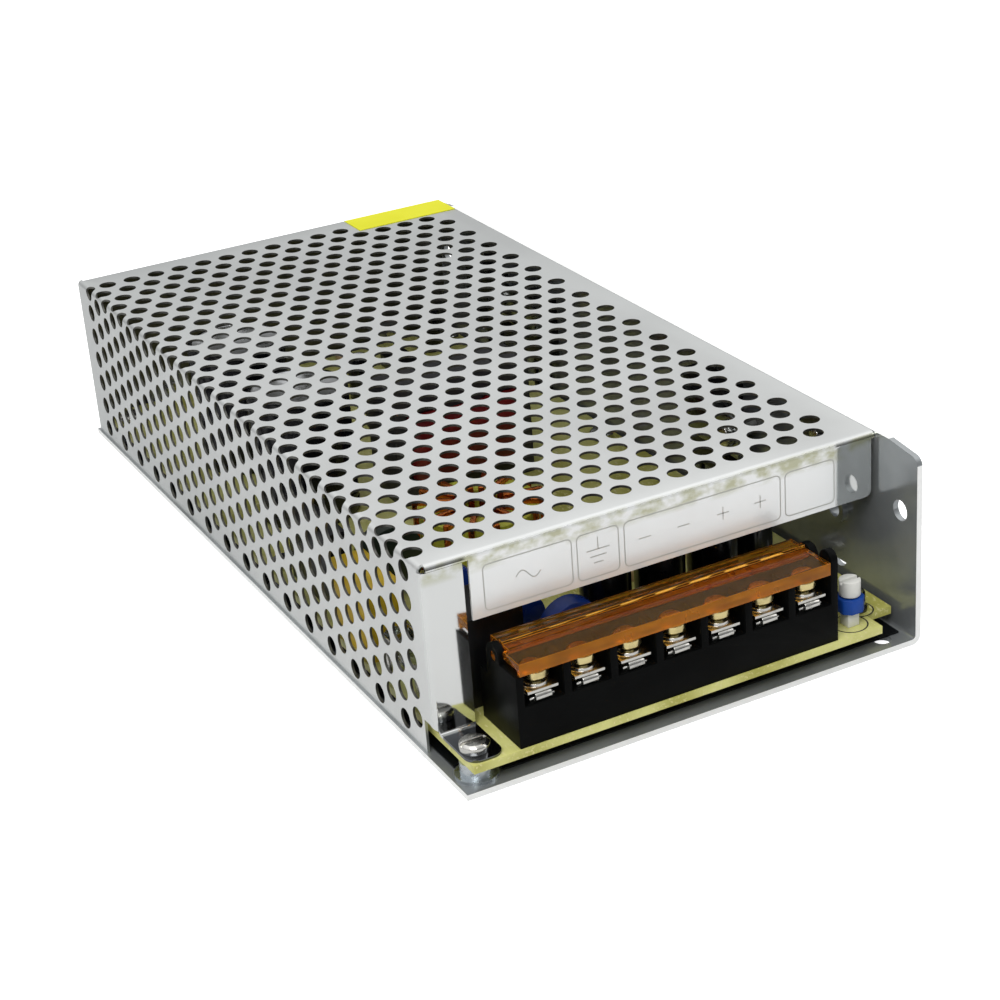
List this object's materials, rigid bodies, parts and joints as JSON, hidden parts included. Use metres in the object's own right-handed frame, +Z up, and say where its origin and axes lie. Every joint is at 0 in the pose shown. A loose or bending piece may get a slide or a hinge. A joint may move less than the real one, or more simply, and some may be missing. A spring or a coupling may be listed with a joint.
{
  "type": "mesh case switching power supply",
  "caption": "Open-ended AC-DC supply: folded sheet tray, perforated metal cover, circuit board on posts and a screw terminal strip with a clear amber lid.",
  "frame": {"origin": "centre of the case's footprint, on the underside of the tray", "axes": "+X towards the tray's tall side wall, +Y along the case towards its rear, away from the terminals, +Z up through the perforated top"},
  "size_m": [0.098, 0.199, 0.0402],
  "materials": {
    "board_screws": "zinc-plated steel",
    "bridge_rectifier": "black moulded case",
    "chassis": "plain mill-finish aluminium sheet, satin, with bright cut edges",
    "circuit_board": "yellow-tan phenolic board with fine copper and print",
    "clamp_bar_screws": "zinc-plated steel",
    "clamp_bars": "plain aluminium bar",
    "clamp_plate_1": "nickel-plated steel",
    "clamp_plate_2": "nickel-plated steel",
    "clamp_plate_3": "nickel-plated steel",
    "clamp_plate_4": "nickel-plated steel",
    "clamp_plate_5": "nickel-plated steel",
    "clamp_plate_6": "nickel-plated steel",
    "clamp_plate_7": "nickel-plated steel",
    "control_chip": "black moulded case",
    "cover_screws": "zinc-plated steel",
    "disc_capacitors": "blue epoxy coat",
    "driver_core": "dark ferrite",
    "driver_winding": "maroon tape over copper wire",
    "foot_screw": "zinc-plated steel",
    "fuse": "glass tube",
    "fuse_clips": "tin-plated spring sheet",
    "indicator_lamp": "clear plastic lamp",
    "insulating_sheet": "thin black plastic sheet",
    "line_choke": "black moulded case",
    "mesh_cover": "bright plated steel sheet, satin on top and mirror-like on the flange",
    "output_capacitors": "black sleeve with a light metal top",
    "output_choke_core": "yellow-green painted iron powder",
    "output_choke_winding": "enamelled copper wire",
    "output_rectifier": "black moulded case",
    "power_transistors": "black moulded case",
    "primary_capacitors": "black sleeve with a light metal top",
    "resistors": "beige lacquer",
    "small_capacitors": "black sleeve with a light metal top",
    "standoffs": "plated steel posts",
    "terminal_block": "black moulded phenolic, satin",
    "terminal_contacts": "tin-plated brass strip",
    "terminal_lid": "clear amber plastic",
    "terminal_screw_1": "nickel-plated steel",
    "terminal_screw_2": "nickel-plated steel",
    "terminal_screw_3": "nickel-plated steel",
    "terminal_screw_4": "nickel-plated steel",
    "terminal_screw_5": "nickel-plated steel",
    "terminal_screw_6": "nickel-plated steel",
    "terminal_screw_7": "nickel-plated steel",
    "thermistor": "dark green epoxy coat",
    "transformer_core": "dark ferrite",
    "transformer_winding": "maroon tape over copper wire",
    "trimmer_body": "blue plastic",
    "trimmer_knob": "white plastic",
    "trimmer_stem": "white plastic",
    "x_capacitor": "yellow plastic case",
    "yellow_label": "plain yellow paper label, bare"
  },
  "bodies": {
    "case": {"board_screws": "board_screws", "bridge_rectifier": "bridge_rectifier", "chassis": "chassis", "circuit_board": "circuit_board", "clamp_bar_screws": "clamp_bar_screws", "clamp_bars": "clamp_bars", "control_chip": "control_chip", "cover_screws": "cover_screws", "disc_capacitors": "disc_capacitors", "driver_core": "driver_core", "driver_winding": "driver_winding", "foot_screw": "foot_screw", "fuse": "fuse", "fuse_clips": "fuse_clips", "indicator_lamp": "indicator_lamp", "insulating_sheet": "insulating_sheet", "line_choke": "line_choke", "mesh_cover": "mesh_cover", "output_capacitors": "output_capacitors", "output_choke_core": "output_choke_core", "output_choke_winding": "output_choke_winding", "output_rectifier": "output_rectifier", "power_transistors": "power_transistors", "primary_capacitors": "primary_capacitors", "resistors": "resistors", "small_capacitors": "small_capacitors", "standoffs": "standoffs", "terminal_block": "terminal_block", "terminal_contacts": "terminal_contacts", "thermistor": "thermistor", "transformer_core": "transformer_core", "transformer_winding": "transformer_winding", "trimmer_body": "trimmer_body", "trimmer_stem": "trimmer_stem", "x_capacitor": "x_capacitor", "yellow_label": "yellow_label"},
    "lid": {"terminal_lid": "terminal_lid"},
    "adjuster": {"trimmer_knob": "trimmer_knob"},
    "clamp_1": {"clamp_plate_1": "clamp_plate_1"},
    "screw_1": {"terminal_screw_1": "terminal_screw_1"},
    "clamp_2": {"clamp_plate_2": "clamp_plate_2"},
    "screw_2": {"terminal_screw_2": "terminal_screw_2"},
    "clamp_3": {"clamp_plate_3": "clamp_plate_3"},
    "screw_3": {"terminal_screw_3": "terminal_screw_3"},
    "clamp_4": {"clamp_plate_4": "clamp_plate_4"},
    "screw_4": {"terminal_screw_4": "terminal_screw_4"},
    "clamp_5": {"clamp_plate_5": "clamp_plate_5"},
    "screw_5": {"terminal_screw_5": "terminal_screw_5"},
    "clamp_6": {"clamp_plate_6": "clamp_plate_6"},
    "screw_6": {"terminal_screw_6": "terminal_screw_6"},
    "clamp_7": {"clamp_plate_7": "clamp_plate_7"},
    "screw_7": {"terminal_screw_7": "terminal_screw_7"}
  },
  "joints": [
    {"name": "lid_hinge", "type": "hinge", "parent": "case", "child": "lid", "pos_m": [0, -0.09, 0.0209], "axis": [-1, 0, 0], "range_deg": [0, 90]},
    {"name": "adjuster_turn", "type": "hinge", "parent": "case", "child": "adjuster", "pos_m": [0.036, -0.0946, 0.013], "axis": [0, 0, 1], "range_deg": [-135, 135]},
    {"name": "clamp_1_lift", "type": "slide", "parent": "case", "child": "clamp_1", "axis": [0, 0, 1], "range_m": [0, 0.0012]},
    {"name": "screw_1_turn", "type": "hinge", "parent": "clamp_1", "child": "screw_1", "pos_m": [-0.032, -0.0949, 0.0175], "axis": [0, 0, 1], "range_deg": [0, 720]},
    {"name": "clamp_2_lift", "type": "slide", "parent": "case", "child": "clamp_2", "axis": [0, 0, 1], "range_m": [0, 0.0012]},
    {"name": "screw_2_turn", "type": "hinge", "parent": "clamp_2", "child": "screw_2", "pos_m": [-0.0225, -0.0949, 0.0175], "axis": [0, 0, 1], "range_deg": [0, 720]},
    {"name": "clamp_3_lift", "type": "slide", "parent": "case", "child": "clamp_3", "axis": [0, 0, 1], "range_m": [0, 0.0012]},
    {"name": "screw_3_turn", "type": "hinge", "parent": "clamp_3", "child": "screw_3", "pos_m": [-0.013, -0.0949, 0.0175], "axis": [0, 0, 1], "range_deg": [0, 720]},
    {"name": "clamp_4_lift", "type": "slide", "parent": "case", "child": "clamp_4", "axis": [0, 0, 1], "range_m": [0, 0.0012]},
    {"name": "screw_4_turn", "type": "hinge", "parent": "clamp_4", "child": "screw_4", "pos_m": [-0.0035, -0.0949, 0.0175], "axis": [0, 0, 1], "range_deg": [0, 720]},
    {"name": "clamp_5_lift", "type": "slide", "parent": "case", "child": "clamp_5", "axis": [0, 0, 1], "range_m": [0, 0.0012]},
    {"name": "screw_5_turn", "type": "hinge", "parent": "clamp_5", "child": "screw_5", "pos_m": [0.006, -0.0949, 0.0175], "axis": [0, 0, 1], "range_deg": [0, 720]},
    {"name": "clamp_6_lift", "type": "slide", "parent": "case", "child": "clamp_6", "axis": [0, 0, 1], "range_m": [0, 0.0012]},
    {"name": "screw_6_turn", "type": "hinge", "parent": "clamp_6", "child": "screw_6", "pos_m": [0.0155, -0.0949, 0.0175], "axis": [0, 0, 1], "range_deg": [0, 720]},
    {"name": "clamp_7_lift", "type": "slide", "parent": "case", "child": "clamp_7", "axis": [0, 0, 1], "range_m": [0, 0.0012]},
    {"name": "screw_7_turn", "type": "hinge", "parent": "clamp_7", "child": "screw_7", "pos_m": [0.025, -0.0949, 0.0175], "axis": [0, 0, 1], "range_deg": [0, 720]}
  ],
  "couplings": [
    {"joint": "screw_1_turn", "follows": "clamp_1_lift", "rad_per_m": 10471},
    {"joint": "screw_2_turn", "follows": "clamp_2_lift", "rad_per_m": 10471},
    {"joint": "screw_3_turn", "follows": "clamp_3_lift", "rad_per_m": 10471},
    {"joint": "screw_4_turn", "follows": "clamp_4_lift", "rad_per_m": 10471},
    {"joint": "screw_5_turn", "follows": "clamp_5_lift", "rad_per_m": 10471},
    {"joint": "screw_6_turn", "follows": "clamp_6_lift", "rad_per_m": 10471},
    {"joint": "screw_7_turn", "follows": "clamp_7_lift", "rad_per_m": 10471}
  ]
}
